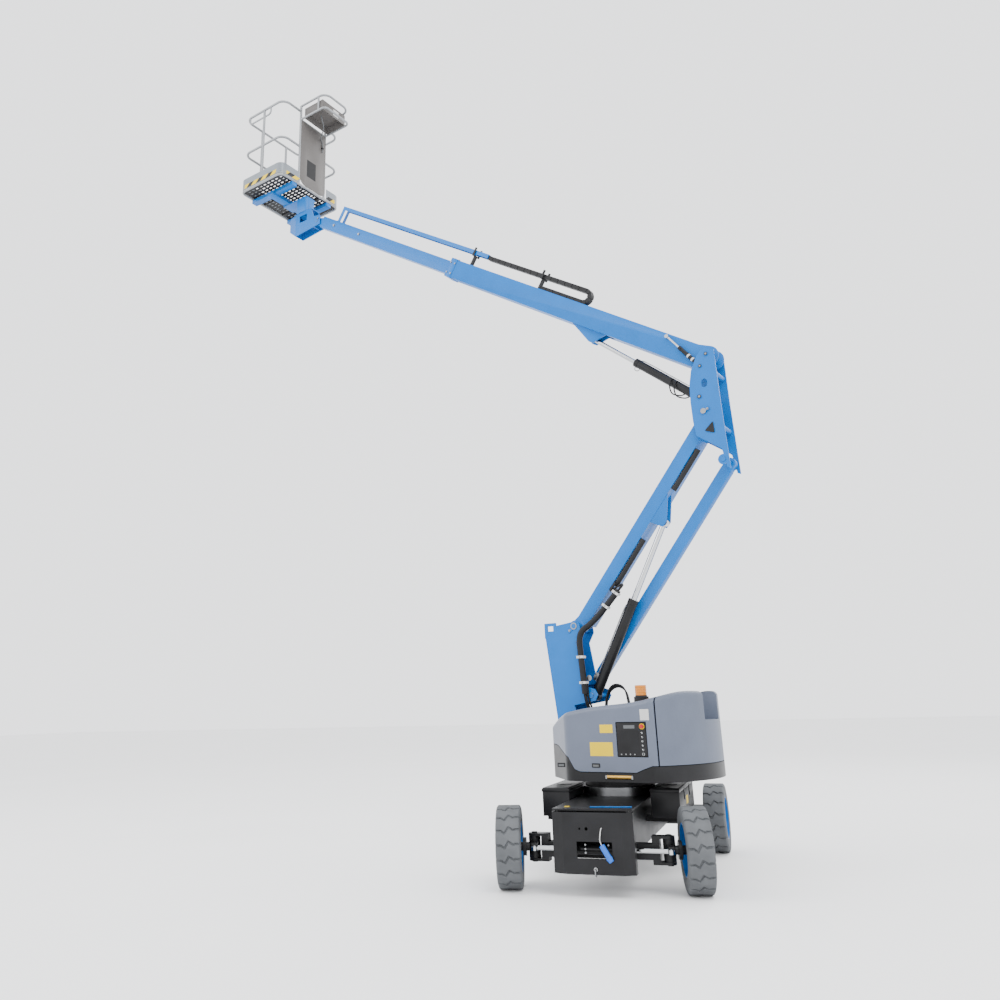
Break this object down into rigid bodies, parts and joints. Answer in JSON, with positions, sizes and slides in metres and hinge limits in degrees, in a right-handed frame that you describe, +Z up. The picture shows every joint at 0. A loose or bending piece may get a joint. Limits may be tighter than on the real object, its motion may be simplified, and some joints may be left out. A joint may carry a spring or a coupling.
{
  "type": "articulating boom lift",
  "caption": "Self-propelled battery-electric articulating boom lift with riser arm, telescopic upper boom and a railed work platform",
  "frame": {"origin": "On the floor under the slew axis", "axes": "+Z up; the steered axle is at -Y and the driven axle at +Y; +X is the machine's left seen from the driven axle"},
  "size_m": [5.6934, 2.9496, 8.869],
  "materials": {
    "amber": "amber lens",
    "black_paint": "satin black",
    "black_plastic": "matte black",
    "blue_paint": "semi-gloss bright blue",
    "chrome_rod": "hard chrome",
    "grey_cowl": "satin blue-grey",
    "light_tyre": "light grey non-marking rubber",
    "panel_grey": "grey paint",
    "rail_grey": "pale grey paint",
    "rim_blue": "bright blue",
    "steel": "bare machined steel",
    "weight_grey": "painted cast iron, blue-grey"
  },
  "bodies": {
    "chassis": {"chassis_frame": "black_paint", "front_plate": "black_paint", "steer_axle": "black_paint", "steer_barrel": "black_paint", "drive_axle": "black_paint", "battery_tray_left": "black_paint", "battery_tray_right": "black_paint", "battery_lid_left": "black_plastic", "battery_lid_right": "black_plastic", "batteries_left": "black_plastic", "batteries_right": "black_plastic", "slew_ring": "steel"},
    "steering_rod": {"steer_rod": "chrome_rod"},
    "knuckle_right": {"steer_knuckle_right": "black_paint"},
    "knuckle_left": {"steer_knuckle_left": "black_paint"},
    "wheel_front_right": {"rim_front_right": "rim_blue", "tyre_front_right": "light_tyre"},
    "wheel_front_left": {"rim_front_left": "rim_blue", "tyre_front_left": "light_tyre"},
    "wheel_rear_right": {"rim_rear_right": "rim_blue", "tyre_rear_right": "light_tyre"},
    "wheel_rear_left": {"rim_rear_left": "rim_blue", "tyre_rear_left": "light_tyre"},
    "turntable": {"turntable_frame": "black_paint", "lower_skirt": "black_paint", "mast": "blue_paint", "counterweight": "weight_grey", "counterweight_base": "black_paint", "ground_controls": "black_plastic", "hydraulic_unit": "black_paint"},
    "cowl_near_body": {"cowl_near": "grey_cowl", "beacon": "amber"},
    "cowl_far_body": {"cowl_far": "grey_cowl"},
    "lower_arm": {"riser_arm": "blue_paint", "riser_conduits": "black_plastic"},
    "lower_link": {"riser_link": "blue_paint"},
    "lift_cylinder": {"lift_barrel": "black_paint"},
    "lift_cylinder_rod": {"lift_rod": "chrome_rod"},
    "riser_knuckle_body": {"riser_knuckle": "blue_paint"},
    "upper_boom": {"base_boom": "blue_paint", "energy_chain": "black_plastic", "tray_stands": "black_paint"},
    "extension": {"extension_boom": "blue_paint", "hose_tray": "blue_paint"},
    "upper_cylinder": {"upper_lift_barrel": "black_paint"},
    "upper_cylinder_rod": {"upper_lift_rod": "chrome_rod"},
    "levelling_cylinder": {"levelling_barrel": "black_paint"},
    "levelling_cylinder_rod": {"levelling_rod": "chrome_rod"},
    "nose": {"level_bracket": "blue_paint"},
    "platform": {"platform_support": "blue_paint", "platform_floor": "black_plastic", "toe_boards": "rail_grey", "guard_posts": "rail_grey", "guard_rail_top": "rail_grey", "guard_rail_middle": "rail_grey", "control_guard": "rail_grey", "rear_panel": "panel_grey", "platform_controls": "black_plastic"}
  },
  "joints": [
    {"name": "steer_right", "type": "hinge", "parent": "chassis", "child": "knuckle_right", "pos_m": [0.48, -0.95, 0.279], "axis": [0, 0, 1], "range_deg": [-43.4, 16.6]},
    {"name": "steer_left", "type": "hinge", "parent": "chassis", "child": "knuckle_left", "pos_m": [-0.48, -0.95, 0.279], "axis": [0, 0, 1], "range_deg": [-43.4, 16.6]},
    {"name": "steer_rod_slide", "type": "slide", "parent": "chassis", "child": "steering_rod", "axis": [1, 0, 0], "range_m": [-0.07953, 0.03042]},
    {"name": "wheel_front_right_spin", "type": "hinge", "parent": "knuckle_right", "child": "wheel_front_right", "pos_m": [0.6551, -0.90829, 0.279], "axis": [0.9728, 0.2317, 0], "continuous": true},
    {"name": "wheel_front_left_spin", "type": "hinge", "parent": "knuckle_left", "child": "wheel_front_left", "pos_m": [-0.6551, -0.99171, 0.279], "axis": [0.9728, 0.2317, 0], "continuous": true},
    {"name": "wheel_rear_right_spin", "type": "hinge", "parent": "chassis", "child": "wheel_rear_right", "pos_m": [0.66, 0.95, 0.279], "axis": [1, 0, 0], "continuous": true},
    {"name": "wheel_rear_left_spin", "type": "hinge", "parent": "chassis", "child": "wheel_rear_left", "pos_m": [-0.66, 0.95, 0.279], "axis": [1, 0, 0], "continuous": true},
    {"name": "slew", "type": "hinge", "parent": "chassis", "child": "turntable", "pos_m": [0, 0, 0.655], "axis": [0, 0, 1], "range_deg": [-274, 126]},
    {"name": "cowl_near_hinge", "type": "hinge", "parent": "turntable", "child": "cowl_near_body", "pos_m": [-0.04062, -0.14647, 1.25], "axis": [-0.9636, 0.2672, 0], "range_deg": [0, 62]},
    {"name": "cowl_far_hinge", "type": "hinge", "parent": "turntable", "child": "cowl_far_body", "pos_m": [0.04062, 0.14647, 1.25], "axis": [0.9636, -0.2672, 0], "range_deg": [0, 62]},
    {"name": "lower_arm_lift", "type": "hinge", "parent": "turntable", "child": "lower_arm", "pos_m": [-0.25633, 0.07109, 1.905], "axis": [-0.2672, -0.9636, 0], "range_deg": [-61.2, 20.8]},
    {"name": "riser_knuckle_level", "type": "hinge", "parent": "lower_arm", "child": "riser_knuckle_body", "pos_m": [1.04067, -0.2886, 3.57902], "axis": [-0.2672, -0.9636, 0], "range_deg": [-20.8, 61.2]},
    {"name": "lower_link_swing", "type": "hinge", "parent": "turntable", "child": "lower_link", "pos_m": [-0.14358, 0.03982, 1.466], "axis": [-0.2672, -0.9636, 0], "range_deg": [-61.2, 20.8]},
    {"name": "lift_cylinder_swing", "type": "hinge", "parent": "turntable", "child": "lift_cylinder", "pos_m": [-0.13684, 0.03795, 1.326], "axis": [-0.2672, -0.9636, 0], "range_deg": [-46.51, 15.81]},
    {"name": "lift_cylinder_stroke", "type": "slide", "parent": "lift_cylinder", "child": "lift_cylinder_rod", "axis": [0.4582, -0.1271, 0.8797], "range_m": [-0.58214, 0.19785]},
    {"name": "upper_boom_lift", "type": "hinge", "parent": "riser_knuckle_body", "child": "upper_boom", "pos_m": [1.11198, -0.30838, 4.07802], "axis": [-0.2672, -0.9636, 0], "range_deg": [-36.4, 43.6]},
    {"name": "boom_extension", "type": "slide", "parent": "upper_boom", "child": "extension", "axis": [-0.8026, 0.2226, 0.5534], "range_m": [-2, 0]},
    {"name": "upper_cylinder_swing", "type": "hinge", "parent": "riser_knuckle_body", "child": "upper_cylinder", "pos_m": [1.02043, -0.28299, 3.71302], "axis": [-0.2672, -0.9636, 0], "range_deg": [-31.85, 38.15]},
    {"name": "upper_cylinder_stroke", "type": "slide", "parent": "upper_cylinder", "child": "upper_cylinder_rod", "axis": [-0.734, 0.2036, 0.6479], "range_m": [-0.28156, 0.23506]},
    {"name": "levelling_cylinder_swing", "type": "hinge", "parent": "riser_knuckle_body", "child": "levelling_cylinder", "pos_m": [1.05223, -0.29181, 3.98202], "axis": [-0.2672, -0.9636, 0], "range_deg": [-33.85, 40.55]},
    {"name": "levelling_cylinder_stroke", "type": "slide", "parent": "levelling_cylinder", "child": "levelling_cylinder_rod", "axis": [-0.5841, 0.162, 0.7953], "range_m": [-0.0799, 0.06671]},
    {"name": "platform_level", "type": "hinge", "parent": "extension", "child": "nose", "pos_m": [-3.44151, 0.95442, 7.1575], "axis": [-0.2672, -0.9636, 0], "range_deg": [-43.6, 36.4]},
    {"name": "platform_rotate", "type": "hinge", "parent": "nose", "child": "platform", "pos_m": [-3.70998, 1.02887, 7.1575], "axis": [0, 0, 1], "range_deg": [-90, 90]}
  ],
  "couplings": [
    {"joint": "steer_left", "follows": "steer_right", "ratio": 1},
    {"joint": "steer_rod_slide", "follows": "steer_right", "m_per_rad": 0.105},
    {"joint": "riser_knuckle_level", "follows": "lower_arm_lift", "ratio": -1},
    {"joint": "lower_link_swing", "follows": "lower_arm_lift", "ratio": 1},
    {"joint": "lift_cylinder_swing", "follows": "lower_arm_lift", "ratio": 0.76},
    {"joint": "lift_cylinder_stroke", "follows": "lower_arm_lift", "m_per_rad": 0.545},
    {"joint": "upper_cylinder_swing", "follows": "upper_boom_lift", "ratio": 0.875},
    {"joint": "upper_cylinder_stroke", "follows": "upper_boom_lift", "m_per_rad": -0.37},
    {"joint": "levelling_cylinder_swing", "follows": "upper_boom_lift", "ratio": 0.93},
    {"joint": "levelling_cylinder_stroke", "follows": "upper_boom_lift", "m_per_rad": -0.105},
    {"joint": "platform_level", "follows": "upper_boom_lift", "ratio": -1}
  ]
}
